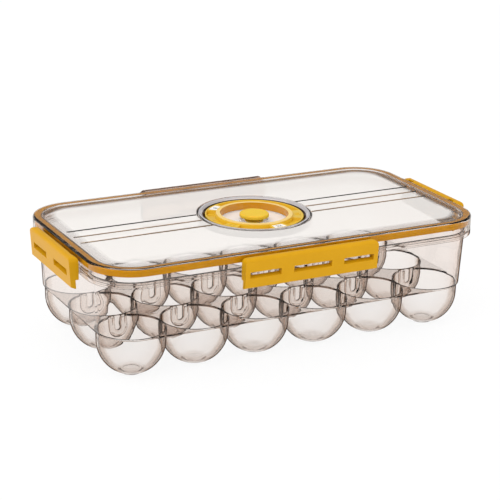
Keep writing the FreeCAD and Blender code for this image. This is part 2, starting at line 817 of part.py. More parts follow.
def sector(sketch, inner, outer, start, stop):
    """Draw a sector of a ring between two angles in degrees."""
    sweep = (stop - start) % 360.0
    ends = [math.radians(start), math.radians(start + sweep)]
    arcs = []
    for radius in (inner, outer):
        circle = Part.Circle(FreeCAD.Vector(0, 0, 0), FreeCAD.Vector(0, 0, 1), radius.value)
        arcs.append(sketch.addGeometry(Part.ArcOfCircle(circle, *ends), False))
        sketch.addConstraint(Sketcher.Constraint("Coincident", arcs[-1], 3, -1, 1))
        fix(sketch, "Radius", (arcs[-1],), radius)
    for end, angle in ((1, ends[0]), (2, ends[1])):
        near = FreeCAD.Vector(inner.value * math.cos(angle), inner.value * math.sin(angle), 0)
        far = FreeCAD.Vector(outer.value * math.cos(angle), outer.value * math.sin(angle), 0)
        side = sketch.addGeometry(Part.LineSegment(near, far), False)
        sketch.addConstraint(Sketcher.Constraint("Coincident", side, 1, arcs[0], end))
        sketch.addConstraint(Sketcher.Constraint("Coincident", side, 2, arcs[1], end))
        sketch.addConstraint(Sketcher.Constraint("Angle", -1, 1, side, 1, angle % (2 * math.pi)))
        sketch.addConstraint(Sketcher.Constraint("PointOnObject", -1, 1, side))


def make_dial():
    """Mould the turning dial: tall inner rim, raised face with sunk sectors, and two windows."""
    body = new_body("date_dial")
    face = lid_top - size("dial_face_drop")
    top = lid_top - size("dial_rim_drop")
    rim_out = dial_hole + size("dial_rim")
    flange_edge = size("dial_radius") + size("dial_flange")
    flange_high = dial_low + size("dial_flange_height")
    ring = new_sketch(body, "dial_profile", "XZ_Plane")
    outline(ring, [
        (dial_hole, dial_low),
        (flange_edge, dial_low),
        (flange_edge, flange_high),
        (size("dial_radius"), flange_high),
        (size("dial_radius"), face),
        (rim_out, face),
        (rim_out, top),
        (dial_hole, top),
    ])
    turn(body, "Revolution", "dial", ring)
    edge = size("dial_pocket_edge")
    pocket_floor = dial_low + size("dial_pocket_floor")
    for number, (start, stop) in enumerate(DIAL_POCKETS, start=1):
        sketch = new_sketch(body, "pocket_%d_plan" % number, "XY_Plane", level=face)
        sector(sketch, rim_out + edge / 2, size("dial_radius") - edge, start, stop)
        grow(body, "Pocket", "pocket_%d" % number, sketch, face - pocket_floor)
    for number, (start, stop) in enumerate(DIAL_WINDOWS, start=1):
        sketch = new_sketch(body, "window_%d_plan" % number, "XY_Plane", level=face)
        sector(sketch, rim_out + edge / 2, size("dial_radius") - edge, start, stop)
        grow(body, "Pocket", "window_%d" % number, sketch, face - dial_low + edge)
    return body


def make_plug():
    """Mould the soft vent plug: knob, stem, sealing seat, and the bulb that keeps it in."""
    body = new_body("vent_plug")
    seat_low = well_top + size("seat_gap")
    seat_high = seat_low + size("seat_thickness")
    knob_low = lid_top - size("knob_thickness")
    bulb_top = well_bottom - size("vent_travel") - size("vent_stop_gap")
    bulb_low = bulb_top - size("bulb_length")
    plug = new_sketch(body, "plug_profile", "XZ_Plane")
    outline(plug, [
        (0, bulb_low),
        (size("stem_radius") - size("knob_round"), bulb_low),
        (size("bulb_radius"), bulb_top),
        (size("stem_radius"), bulb_top),
        (size("stem_radius"), seat_low),
        (size("seat_radius"), seat_low),
        (size("seat_radius"), seat_high),
        (size("stem_radius"), seat_high),
        (size("stem_radius"), knob_low),
        (size("knob_radius"), knob_low),
        (size("knob_radius"), lid_top - size("knob_round"),
         (size("knob_round"), size("knob_radius") - size("knob_round"), lid_top - size("knob_round"), 1)),
        (size("knob_radius") - size("knob_round"), lid_top),
        (0, lid_top),
    ])
    turn(body, "Revolution", "plug", plug)
    return body


bodies = [make_tray(), make_lid(), make_seal()]
bodies += [make_clip(side) for side in CLIPS]
bodies += [make_bezel(), make_number_ring(), make_dial(), make_plug()]
document.recompute()

# Nothing is written unless every feature and every sub-part is sound.
for item in document.Objects:
    if "Invalid" in item.State or "Error" in item.State:
        raise RuntimeError("%s did not build: %s" % (item.Label, item.State))
for body in bodies:
    if body.Shape.isNull() or not body.Shape.isValid() or len(body.Shape.Solids) != 1:
        raise RuntimeError("%s is not one sound solid" % body.Label)

os.makedirs("parts", exist_ok=True)
for body in bodies:
    body.Shape.exportStep("parts/%s.step" % body.Label)
    box = body.Shape.BoundBox
    numbers = (body.Label, body.Shape.Volume, box.ZMin, box.ZMax)
    print("%-12s volume %9.1f mm3, height %6.2f to %6.2f" % numbers)
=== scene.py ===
import logging
import math
from dataclasses import dataclass
from enum import Enum
from typing import Any

import bmesh
import bpy
from mathutils import Matrix, Vector


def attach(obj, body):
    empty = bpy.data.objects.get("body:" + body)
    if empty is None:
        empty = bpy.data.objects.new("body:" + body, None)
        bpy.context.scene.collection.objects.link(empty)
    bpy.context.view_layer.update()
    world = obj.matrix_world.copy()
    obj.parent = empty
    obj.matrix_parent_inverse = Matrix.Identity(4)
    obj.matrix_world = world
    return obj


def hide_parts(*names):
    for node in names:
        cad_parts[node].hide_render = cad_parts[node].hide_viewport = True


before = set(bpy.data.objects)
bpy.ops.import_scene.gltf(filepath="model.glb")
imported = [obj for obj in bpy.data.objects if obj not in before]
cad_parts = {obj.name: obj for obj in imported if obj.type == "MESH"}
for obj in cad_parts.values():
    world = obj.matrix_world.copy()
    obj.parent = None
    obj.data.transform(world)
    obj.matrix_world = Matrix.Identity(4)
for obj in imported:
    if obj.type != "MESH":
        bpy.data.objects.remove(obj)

# Egg storage box: looks for the clear tray and lid, the yellow clips and the date dial.
# Lengths are metres in the CAD frame: +X along the box, +Y to its back, +Z up.

LOG = logging.getLogger("egg_box")
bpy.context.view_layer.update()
MM = 0.001
# Corners of the CAD triangles that lie closer than WELD become one corner.
WELD = 2e-6
# Edges shorter than SLIVER are closed up.
SLIVER = 1e-7
# Edges that turn by more than CREASE stay sharp.
CREASE = math.radians(32.0)
WHITE = "#FFFFFF"

Tree = bpy.types.NodeTree
Socket = bpy.types.NodeSocket
Spot = tuple[float, float, float]
# A stop is a place in a row of colours and its colour, and a mark is a number and its angle.
Stop = tuple[float, str]
Mark = tuple[str, float]


class Body(Enum):
    """Rigid bodies that the pieces ride on."""

    TRAY = "tray"
    LID = "lid"
    FRONT_CLIP = "front_clip"
    BACK_CLIP = "back_clip"
    LEFT_CLIP = "left_clip"
    RIGHT_CLIP = "right_clip"
    DIAL = "dial"
    VENT = "vent"


class Side(Enum):
    """Which side of a limit a zone lies on."""

    BELOW = "LESS_THAN"
    ABOVE = "GREATER_THAN"


def linear(code: str) -> tuple[float, float, float, float]:
    """Turn an sRGB hex colour into linear values.

    Args:
        code: The colour as "#RRGGBB".

    Returns:
        Linear red, green and blue, and an alpha of 1.
    """
    values = []
    for start in (1, 3, 5):
        share = int(code[start:start + 2], 16) / 255
        values.append(share / 12.92 if share <= 0.04045 else ((share + 0.055) / 1.055) ** 2.4)
    return values[0], values[1], values[2], 1.0


def add_node(tree: Tree, kind: str, inputs: dict[Any, Any] | None = None, stops: tuple[Stop, ...] = (),
             **settings: Any) -> bpy.types.Node:
    """Add a node with its settings, values and links.

    Args:
        tree: The node tree to add to.
        kind: Blender's name of the node type.
        inputs: Values, output sockets, or nodes for their first output, by input name or number.
        stops: Places from 0 to 1 and their colours, for a node with a band of colours.
        settings: The node's own properties.

    Returns:
        The new node.
    """
    node = tree.nodes.new(kind)
    for name, value in settings.items():
        setattr(node, name, value)
    for name, value in (inputs or {}).items():
        if isinstance(value, bpy.types.Node):
            value = value.outputs[0]
        if isinstance(value, bpy.types.NodeSocket):
            tree.links.new(value, node.inputs[name])
        else:
            node.inputs[name].default_value = value
    if stops:
        band = node.color_ramp.elements
        band.remove(band[1])
        for number, (place, colour) in enumerate(stops):
            stop = band[0] if number == 0 else band.new(place)
            stop.position = place
            stop.color = linear(colour)
    return node


def new_material(name: str) -> tuple[bpy.types.Material, Tree, bpy.types.Node]:
    """Start an empty node material.

    Args:
        name: The material's name.

    Returns:
        The material, its node tree and its output node.
    """
    material = bpy.data.materials.new(name)
    material.use_nodes = True
    tree = material.node_tree
    tree.nodes.clear()
    return material, tree, add_node(tree, "ShaderNodeOutputMaterial")


def grain(tree: Tree, size: float, detail: float = 2.0) -> Socket:
    """Add noise whose patches have a real size.

    Args:
        tree: The node tree to add to.
        size: The patches' width in metres.
        detail: How many finer layers the noise has.

    Returns:
        The noise value's socket.
    """
    place = add_node(tree, "ShaderNodeTexCoord").outputs["Object"]
    noise = add_node(tree, "ShaderNodeTexNoise", {"Vector": place, "Scale": 1 / size, "Detail": detail})
    return noise.outputs[0]


def axis_distance(tree: Tree) -> Socket:
    """Add how far a place is from the upright axis of the dial.

    Args:
        tree: The node tree to add to.

    Returns:
        The distance's socket.
    """
    place = add_node(tree, "ShaderNodeTexCoord").outputs["Object"]
    plan = add_node(tree, "ShaderNodeVectorMath", {0: place, 1: (1, 1, 0)}, operation="MULTIPLY")
    return add_node(tree, "ShaderNodeVectorMath", {0: plan}, operation="LENGTH").outputs["Value"]


def zone(tree: Tree, *tests: tuple[Socket, Side, float]) -> Socket:
    """Add a value that is 1 where every test holds and 0 elsewhere.

    Args:
        tree: The node tree to add to.
        tests: Each test's value, side and limit.

    Returns:
        The value's socket.
    """
    result = None
    for value, side, limit in tests:
        test = add_node(tree, "ShaderNodeMath", {0: value, 1: limit}, operation=side.value)
        if result is not None:
            test = add_node(tree, "ShaderNodeMath", {0: result, 1: test}, operation="MULTIPLY")
        result = test
    return result.outputs[0]


def painted(tree: Tree, colour: Socket, *zones: tuple[Socket, Any]) -> Socket:
    """Lay other colours over a colour, each in its own zone.

    Args:
        tree: The node tree to add to.
        colour: The colour underneath.
        zones: Each zone's mask and its colour, as a socket or as linear values.

    Returns:
        The whole colour's socket.
    """
    for mask, tint in zones:
        mix = add_node(tree, "ShaderNodeMix", {"Factor": mask, 6: colour, 7: tint}, data_type="RGBA")
        colour = mix.outputs[2]
    return colour


@dataclass(frozen=True)
class ClearResin:
    """Clear styrene resin, injection moulded in a polished tool.

    It bends what is behind it and takes a warm tint from its depth. It turns dark brown where
    the eye looks along a curved wall, and has the faint waviness of moulded walls. Level faces
    and flat walls stay clear for longer as they turn away.
    """

    name: str
    tints: tuple[Stop, ...] = (
        (0.0, WHITE), (0.64, "#F8EEE8"), (0.715, "#A37E60"), (0.8, "#4A2C1A"), (1.0, "#0E0602"),
    )
    steepness: tuple[float, float] = (0.7, 0.95)
    level_share: float = 0.6
    flatness: tuple[float, float] = (0.985, 0.997)
    flat_share: float = 0.82
    clearness: float = 1.0
    edge_turn: tuple[float, float] = (0.66, 0.82)
    edge_clearness: float = 0.05
    depth_tint: str = "#B8926C"
    depth_density: float = 75.0
    gloss_tint: str = "#6E5F55"
    gloss: float = 0.0
    ior: float = 1.53
    polish: tuple[float, float] = (0.01, 0.03)
    polish_size: float = 22.0 / 3 * MM
    wave_size: float = 22.0 * MM
    wave_height: float = 0.03 * MM

    def make(self) -> bpy.types.Material:
        """Build the material.

        Returns:
            The new material.
        """
        material, tree, output = new_material(self.name)
        rough = add_node(tree, "ShaderNodeMapRange", {
            "Value": grain(tree, self.polish_size), "To Min": self.polish[0], "To Max": self.polish[1],
        })
        bump = add_node(tree, "ShaderNodeBump", {
            "Height": grain(tree, self.wave_size), "Distance": self.wave_height,
        })
        shader = add_node(tree, "ShaderNodeBsdfPrincipled", {
            "Base Color": self.colour(tree), "Roughness": rough, "IOR": self.ior,
            "Transmission Weight": self.clear_share(tree), "Specular IOR Level": self.gloss,
            "Specular Tint": linear(self.gloss_tint), "Normal": bump,
        })
        depth = add_node(tree, "ShaderNodeVolumeAbsorption", {
            "Color": linear(self.depth_tint), "Density": self.depth_density,
        })
        tree.links.new(shader.outputs[0], output.inputs["Surface"])
        tree.links.new(depth.outputs[0], output.inputs["Volume"])
        return material

    def colour(self, tree: Tree) -> Socket:
        """Add the tints, which deepen as the surface turns away from the eye, and return their socket."""
        return add_node(tree, "ShaderNodeValToRGB", {0: self.turned(tree)}, self.tints).outputs[0]

    def turned(self, tree: Tree) -> Socket:
        """Add how far the surface turns away from the eye, counted less on level faces and flat walls.

        Args:
            tree: The material's node tree.

        Returns:
            The value's socket, from 0 for face-on to 1 for edge-on.
        """
        turned = add_node(tree, "ShaderNodeLayerWeight").outputs["Facing"]
        normal = add_node(tree, "ShaderNodeNewGeometry").outputs["Normal"]
        size = add_node(tree, "ShaderNodeVectorMath", {0: normal}, operation="ABSOLUTE")
        along, across, rise = add_node(tree, "ShaderNodeSeparateXYZ", {0: size}).outputs
        flat = add_node(tree, "ShaderNodeMath", {0: along, 1: across}, operation="MAXIMUM").outputs[0]
        for value, limits, share in (
            (rise, self.steepness, self.level_share), (flat, self.flatness, self.flat_share),
        ):
            counted = add_node(tree, "ShaderNodeMapRange", {
                "Value": value, "From Min": limits[0], "From Max": limits[1], "To Min": 1.0, "To Max": share,
            })
            product = add_node(tree, "ShaderNodeMath", {0: turned, 1: counted}, operation="MULTIPLY")
            turned = product.outputs[0]
        return turned

    def clear_share(self, tree: Tree) -> Socket:
        """Add the share of light that passes, which falls where the eye looks along a wall.

        Args:
            tree: The material's node tree.

        Returns:
            The share's socket.
        """
        return add_node(tree, "ShaderNodeMapRange", {
            "Value": self.turned(tree), "From Min": self.edge_turn[0], "From Max": self.edge_turn[1],
            "To Min": self.clearness, "To Max": self.edge_clearness,
        }).outputs[0]


@dataclass(frozen=True)
class TrayResin(ClearResin):
    """Clear styrene resin of the tray, whose round cups get painted shade that deepens softly towards their
    edges.
    """

    cup_top: float = 33.0 * MM
    # Painted shade on the cups: greyer, then brown, as the wall turns away from the eye.
    cup_shade_tints: tuple[Stop, ...] = (
        (0.0, WHITE), (0.37, "#FDFAF8"), (0.46, "#E4DAD3"), (0.62, "#D4C4B8"), (0.72, "#94755C"),
        (0.8, "#4A2C1A"), (1.0, "#0E0602"),
    )

    def colour(self, tree: Tree) -> Socket:
        """Add the tints, with the cups' painted shade below the deck.

        Args:
            tree: The material's node tree.

        Returns:
            The colour's socket.
        """
        place = add_node(tree, "ShaderNodeTexCoord").outputs["Object"]
        height = add_node(tree, "ShaderNodeSeparateXYZ", {0: place}).outputs[2]
        cups = zone(tree, (height, Side.BELOW, self.cup_top))
        # Painted shade on the cups below the deck.
        band = add_node(tree, "ShaderNodeValToRGB", {0: self.turned(tree)}, self.cup_shade_tints)
        return painted(tree, super().colour(tree), (cups, band.outputs[0]))


@dataclass(frozen=True)
class LidResin(ClearResin):
    """Clear styrene resin of the lid, with a painted white sheen on its flat faces at a low angle.

    The panel and the well's floor get a near-white painted reflection, which hides what lies under
    them when the eye looks across them, and the panel's three fine grooves get painted shade,
    darkest on the back one. The core is the middle of a corner cup, and its third value is above
    the box, so that height never counts in distances from it.
    """

    core: Spot = (120.0 * MM, 49.3 * MM, 1.0)
    panel_low: float = 84.5 * MM
    well_outer: float = 42.7 * MM
    well_inner: float = 41.0 * MM
    floor_low: float = 79.0 * MM
    line_pitch: float = 13.3 * MM
    line_half: float = 1.25 * MM
    line_start: float = 42.8 * MM
    line_stop: float = 142.0 * MM
    # Painted white sheen on the flat faces: a painted reflection of the bright surroundings.
    panel_sheen_tint: str = "#FBF7F3"
    # Painted shade on the three fine grooves, darkest on the back one.
    line_shade_tint: str = "#B49A80"
    back_line_shade_tint: str = "#4F4843"
    # How much the painted white sheen hides, how it grows as the surface turns away, and where it fades out
    # towards the lid's edges.
    painted_sheen: tuple[float, float] = (0.03, 0.74)
    painted_sheen_turn: tuple[float, float] = (0.25, 0.66)
    painted_sheen_fade: tuple[float, float] = (15.0 * MM, 20.0 * MM)

    def colour(self, tree: Tree) -> Socket:
        """Add the painted white sheen of the flat faces, the painted shade of the lines and the tint of the
        rest.

        Args:
            tree: The material's node tree.

        Returns:
            The colour's socket.
        """
        flats, lines, dark = self.zones(tree)
        # Painted white sheen on the flat faces, and painted shade on the lines.
        return painted(
            tree, super().colour(tree), (flats, linear(self.panel_sheen_tint)), (lines, linear(self.line_shade_tint)),
            (dark, linear(self.back_line_shade_tint)),
        )

    def clear_share(self, tree: Tree) -> Socket:
        """Add the share of light that passes, lowered where the eye looks across the flat faces so that their
        painted white sheen shows.

        Args:
            tree: The material's node tree.

        Returns:
            The share's socket.
        """
        facing = add_node(tree, "ShaderNodeLayerWeight").outputs["Facing"]
        # Painted white sheen: less light passes where the eye looks across the flat faces.
        painted_sheen = add_node(tree, "ShaderNodeMapRange", {
            "Value": facing, "From Min": self.painted_sheen_turn[0], "From Max": self.painted_sheen_turn[1],
            "To Min": self.painted_sheen[0], "To Max": self.painted_sheen[1],
        })
        share = add_node(tree, "ShaderNodeMath", {0: self.zones(tree)[0], 1: painted_sheen}, operation="MULTIPLY")
        clear = add_node(tree, "ShaderNodeMath", {0: 1.0, 1: share}, operation="SUBTRACT")
        whole = super().clear_share(tree)
        return add_node(tree, "ShaderNodeMath", {0: whole, 1: clear}, operation="MULTIPLY").outputs[0]

    def past_core(self, tree: Tree) -> Socket:
        """Add how far a place lies outside the corner cups' middles, in plan.

        Args:
            tree: The material's node tree.

        Returns:
            The distance's socket.
        """
        place = add_node(tree, "ShaderNodeTexCoord").outputs["Object"]
        size = add_node(tree, "ShaderNodeVectorMath", {0: place}, operation="ABSOLUTE")
        past = add_node(tree, "ShaderNodeVectorMath", {0: size, 1: self.core}, operation="SUBTRACT")
        beyond = add_node(tree, "ShaderNodeVectorMath", {0: past, 1: (0, 0, 0)}, operation="MAXIMUM")
        return add_node(tree, "ShaderNodeVectorMath", {0: beyond}, operation="LENGTH").outputs["Value"]

    def zones(self, tree: Tree) -> tuple[Socket, Socket, Socket]:
        """Add masks for the painted white sheen on the lid's flat faces, for the painted shade on its lines
        and for the darkest painted shade on the back line.

        Args:
            tree: The material's node tree.

        Returns:
            The three masks' sockets.
        """
        place = add_node(tree, "ShaderNodeTexCoord").outputs["Object"]
        radius = axis_distance(tree)
        _, depth, height = add_node(tree, "ShaderNodeSeparateXYZ", {0: place}).outputs
        size = add_node(tree, "ShaderNodeVectorMath", {0: place}, operation="ABSOLUTE")
        along, across, _ = add_node(tree, "ShaderNodeSeparateXYZ", {0: size}).outputs

        on_top = (height, Side.ABOVE, self.panel_low)
        panel = zone(tree, (radius, Side.ABOVE, self.well_outer), on_top)
        fade = add_node(tree, "ShaderNodeMapRange", {
            "Value": self.past_core(tree), "From Min": self.painted_sheen_fade[0], "From Max": self.painted_sheen_fade[1],
            "To Min": 1.0, "To Max": 0.0,
        })
        inner = add_node(tree, "ShaderNodeMath", {0: panel, 1: fade}, operation="MULTIPLY")
        floor = zone(tree, (radius, Side.BELOW, self.well_inner), (height, Side.ABOVE, self.floor_low))
        flats = add_node(tree, "ShaderNodeMath", {0: inner, 1: floor}, operation="MAXIMUM").outputs[0]

        outer = add_node(tree, "ShaderNodeMath", {0: across, 1: self.line_pitch}, operation="SUBTRACT")
        apart = add_node(tree, "ShaderNodeMath", {0: outer}, operation="ABSOLUTE")
        nearest = add_node(tree, "ShaderNodeMath", {0: across, 1: apart}, operation="MINIMUM").outputs[0]
        on_line = (
            (nearest, Side.BELOW, self.line_half),
            (radius, Side.ABOVE, self.line_start),
            (along, Side.BELOW, self.line_stop),
            on_top,
        )
        # Painted shade on the grooves, darkest on the one at the back.
        lines = zone(tree, *on_line)
        dark = zone(tree, *on_line, (depth, Side.ABOVE, self.line_pitch / 2))
        return flats, lines, dark


@dataclass(frozen=True)
class BezelResin(ClearResin):
    """Clear styrene resin of the bezel, with painted dark shade on its inner wall for the gap round the dial.
    """

    wall_radius: float = 38.3 * MM
    # Painted shade on the bezel's inner wall, for the dark gap round the dial.
    wall_shade_tint: str = "#4A3526"

    def colour(self, tree: Tree) -> Socket:
        """Add the tints, with painted shade on the inner wall, and return their socket."""
        # Painted shade on the inner wall.
        wall = zone(tree, (axis_distance(tree), Side.BELOW, self.wall_radius))
        return painted(tree, super().colour(tree), (wall, linear(self.wall_shade_tint)))


@dataclass(frozen=True)
class SatinPlastic:
    """Coloured plastic, moulded with a fine spark-eroded grain.

    It shows a soft broad sheen, slight unevenness in its colour, and a grain that is drawn
    coarser than the real tenth of a millimetre so that it shows at all.
    """

    name: str
    colour: str
    shade: str
    roughness: tuple[float, float] = (0.30, 0.42)
    gloss: float = 0.3
    coat: float = 0.0
    coat_roughness: float = 0.12
    glow: float = 0.0
    glow_depth: float = 2.0 * MM
    ior: float = 1.49
    cloud_size: float = 12.0 * MM
    cloud_detail: float = 3.0
    grain_size: float = 0.6 * MM
    grain_height: float = 0.02 * MM

    def make(self) -> bpy.types.Material:
        """Build the material.

        Returns:
            The new material.
        """
        material, tree, output = new_material(self.name)
        clouds = grain(tree, self.cloud_size, self.cloud_detail)
        rough = add_node(tree, "ShaderNodeMapRange", {
            "Value": clouds, "To Min": self.roughness[0], "To Max": self.roughness[1],
        })
        bump = add_node(tree, "ShaderNodeBump", {
            "Height": grain(tree, self.grain_size), "Distance": self.grain_height,
        })
        shader = add_node(tree, "ShaderNodeBsdfPrincipled", {
            "Base Color": self.tone(tree, clouds), "Roughness": rough, "IOR": self.ior,
            "Specular IOR Level": self.gloss, "Coat Weight": self.coat,
            "Coat Roughness": self.coat_roughness, "Subsurface Weight": self.glow,
            "Subsurface Scale": self.glow_depth, "Normal": bump,
        })
        tree.links.new(shader.outputs[0], output.inputs["Surface"])
        return material

    def tone(self, tree: Tree, clouds: Socket) -> Socket:
        """Add the slightly uneven colour.

        Args:
            tree: The material's node tree.
            clouds: Noise that sets where the colour is deeper.

        Returns:
            The colour's socket.
        """
        return add_node(tree, "ShaderNodeMix", {
            "Factor": clouds, 6: linear(self.shade), 7: linear(self.colour),
        }, data_type="RGBA").outputs[2]


@dataclass(frozen=True)
class DialPlastic(SatinPlastic):
    """Coloured plastic of the dial, with painted shade (deep amber) in its hole and a painted highlight
    (paler) on its shiny rim.
    """

    hole_radius: float = 25.3 * MM
    # Painted shade in the dial's hole.
    hole_shade_tint: str = "#D89004"
    rim_radius: float = 28.3 * MM
    rim_low: float = 85.2 * MM
    # Painted highlight on the dial's rim.
    rim_highlight_tint: str = "#F8D57C"

    def tone(self, tree: Tree, clouds: Socket) -> Socket:
        """Add the colour, with the painted highlight on the rim and the painted shade in the hole.

        Args:
            tree: The material's node tree.
            clouds: Noise that sets where the colour is deeper.

        Returns:
            The colour's socket.
        """
        place = add_node(tree, "ShaderNodeTexCoord").outputs["Object"]
        height = add_node(tree, "ShaderNodeSeparateXYZ", {0: place}).outputs[2]
        radius = axis_distance(tree)
        rim = zone(tree, (height, Side.ABOVE, self.rim_low), (radius, Side.BELOW, self.rim_radius))
        hole = zone(tree, (radius, Side.BELOW, self.hole_radius))
        whole = super().tone(tree, clouds)
        # Painted highlight on the rim, painted shade in the hole.
        return painted(tree, whole, (rim, linear(self.rim_highlight_tint)), (hole, linear(self.hole_shade_tint)))


# Styrene resin: the tray and the back clip are warm, the lid is clearer, and the bezel is greyer and milky.
TRAY_RESIN = TrayResin("clear_styrene_tray")
LID_RESIN = LidResin(
    "clear_styrene_lid",
    ((0.0, WHITE), (0.635, "#F6EFEA"), (0.71, "#B5A18C"), (0.8, "#7A5F45"), (1.0, "#2E1C0E")),
    edge_clearness=0.3, depth_density=25.0, gloss=0.5,
)
BEZEL_RESIN = BezelResin(
    "clear_styrene_bezel", ((0.0, "#F6F3F5"), (0.7, "#E4DFE2"), (1.0, "#2A1A10")), clearness=0.5,
)
CLEAR_CLIP_RESIN = ClearResin(
    "clear_styrene_back_clip", ((0.0, "#DCC4B4"), (0.6, "#CBB2A2"), (1.0, "#6E5848")),
)
# Polypropylene: satin on the clips, and shinier with a thin gloss on the dial.
CLIP_PLASTIC = SatinPlastic("yellow_polypropylene_clips", "#D69F10", "#CC950A", gloss=0.15)
DIAL_PLASTIC = DialPlastic(
    "yellow_polypropylene_dial", "#EAC23A", "#E0B62A", (0.12, 0.22), gloss=0.5, coat=0.3,
)
# Silicone: dull and deep amber in the seal, and lit softly from within in the plug.
SEAL_SILICONE = SatinPlastic("amber_silicone_seal", "#F8B006", "#EA9E02", (0.35, 0.5), gloss=0.1)
PLUG_SILICONE = SatinPlastic("yellow_silicone_plug", "#EBC332", "#E2B826", (0.42, 0.55), glow=0.3)
# Matt white polystyrene sheet, and the dull ink printed on it.
CARD_PLASTIC = SatinPlastic("white_polystyrene_number_ring", "#F4F3F0", "#ECEBE8", (0.45, 0.6))
NUMBER_INK = SatinPlastic("dark_grey_printing_ink", "#4B4642", "#3F3A37", (0.5, 0.7))


def dress(piece: bpy.types.Object, material: bpy.types.Material) -> None:
    """Give a piece one material."""
    piece.data.materials.clear()
    piece.data.materials.append(material)


def shaped(name: str, form: bmesh.types.BMesh) -> bpy.types.Object:
    """Turn a finished form into an object in the scene.

    Args:
        name: The object's name.
        form: Its shape, which is freed.

    Returns:
        The new object.
    """
    mesh = bpy.data.meshes.new(name)
    form.to_mesh(mesh)
    form.free()
    piece = bpy.data.objects.new(name, mesh)
    bpy.context.scene.collection.objects.link(piece)
    return piece


def polished(node: str, name: str, body: Body) -> bpy.types.Object:
    """Stand a welded copy in for a CAD node, so that light crosses smooth walls and not facets.

    Args:
        node: The CAD node's name.
        name: The new piece's name.
        body: The body that the piece rides on.

    Returns:
        The new piece.
    """
    form = bmesh.new()
    form.from_mesh(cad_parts[node].data)
    bmesh.ops.remove_doubles(form, verts=form.verts, dist=WELD)
    bmesh.ops.dissolve_degenerate(form, edges=form.edges, dist=SLIVER)
    for face in form.faces:
        face.smooth = True
    for edge in form.edges:
        turn = edge.calc_face_angle(math.pi) if len(edge.link_faces) == 2 else math.pi
        edge.smooth = turn < CREASE
    piece = shaped(name, form)
    flats = piece.modifiers.new("flat_faces", "WEIGHTED_NORMAL")
    flats.keep_sharp = True
    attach(piece, body.value)
    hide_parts(node)
    LOG.info("%s stands for %s", name, node)
    return piece


@dataclass
class Tray:
    """The clear tray with its egg cups."""

    node: str = "tray_body"

    def build(self) -> None:
        """Dress the tray."""
        dress(polished(self.node, "clear_tray", Body.TRAY), TRAY_RESIN.make())


@dataclass
class Lid:
    """The clear lid, its soft seal and the dial's bezel."""

    shell: str = "lid_shell"
    seal: str = "lid_gasket"
    bezel: str = "dial_bezel"

    def build(self) -> None:
        """Dress the lid, the seal and the bezel."""
        dress(polished(self.shell, "clear_lid", Body.LID), LID_RESIN.make())
        dress(polished(self.seal, "amber_seal", Body.LID), SEAL_SILICONE.make())
        dress(polished(self.bezel, "clear_bezel", Body.LID), BEZEL_RESIN.make())


@dataclass
class Clips:
    """The yellow clips at the front and the ends, and the clear one at the back."""

    yellow_sides: tuple[Body, ...] = (Body.FRONT_CLIP, Body.LEFT_CLIP, Body.RIGHT_CLIP)
    clear_side: Body = Body.BACK_CLIP

    def build(self) -> None:
        """Dress the clips."""
        plastic = CLIP_PLASTIC.make()
        for side in self.yellow_sides:
            dress(polished(side.value, "yellow_" + side.value, side), plastic)
        back = polished(self.clear_side.value, "clear_back_clip", self.clear_side)
        dress(back, CLEAR_CLIP_RESIN.make())


@dataclass(frozen=True)
class NumberSet:
    """Numbers in a ring round the dial's axis, with their tops towards it.

    Each mark is a number and its angle in degrees. The radius is that of the numbers' middles, low
    is the height of their undersides, and depth is their thickness.
    """

    name: str
    marks: tuple[Mark, ...]
    radius: float
    height: float
    low: float
    depth: float
    body: Body
    slot: str


